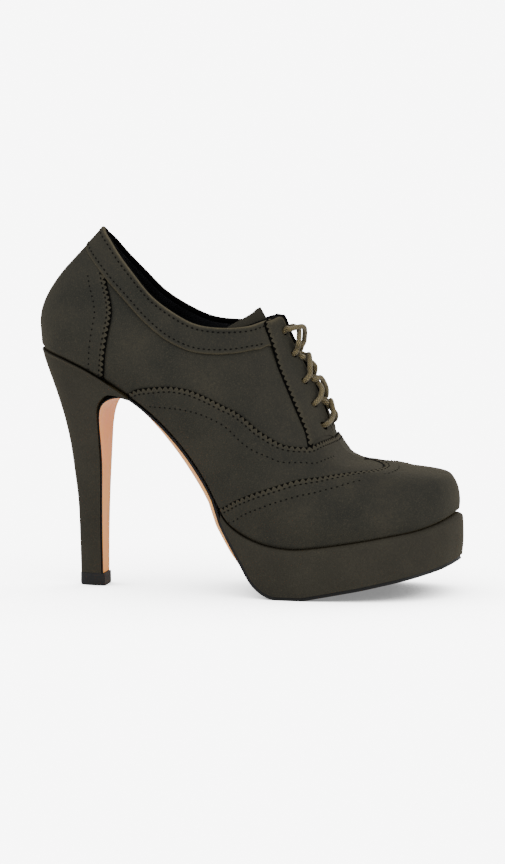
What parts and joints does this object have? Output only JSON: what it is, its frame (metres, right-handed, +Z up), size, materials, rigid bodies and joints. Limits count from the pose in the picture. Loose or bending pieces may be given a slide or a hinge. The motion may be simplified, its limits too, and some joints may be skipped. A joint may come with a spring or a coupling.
{
  "type": "high-heeled platform lace-up oxford pump",
  "caption": "Closed high-heeled oxford pump in dark olive nubuck with a covered platform, a slim covered heel, pinked panels and a round lace.",
  "frame": {"origin": "on the floor under the ball of the foot, on the flat of the forefoot's sole", "axes": "+X to the toe, +Y to the inner side of the foot, +Z up"},
  "size_m": [0.2022, 0.0846, 0.1721],
  "materials": {
    "nubuck": "matt buffed nap",
    "lining_leather": "smooth satin",
    "sole_leather": "smooth satin with a black painted edge",
    "lace_cord": "waxed round braid",
    "lift_rubber": "matt moulded"
  },
  "bodies": {
    "root": {"upper": "nubuck", "collar_band": "nubuck", "heel_counter": "nubuck", "facing_outer": "nubuck", "facing_inner": "nubuck", "vamp": "nubuck", "wing_cap": "nubuck", "insole": "lining_leather", "tongue": "nubuck", "platform": "nubuck", "outsole": "sole_leather", "heel": "nubuck", "top_lift": "lift_rubber", "lace": "lace_cord"}
  },
  "joints": []
}
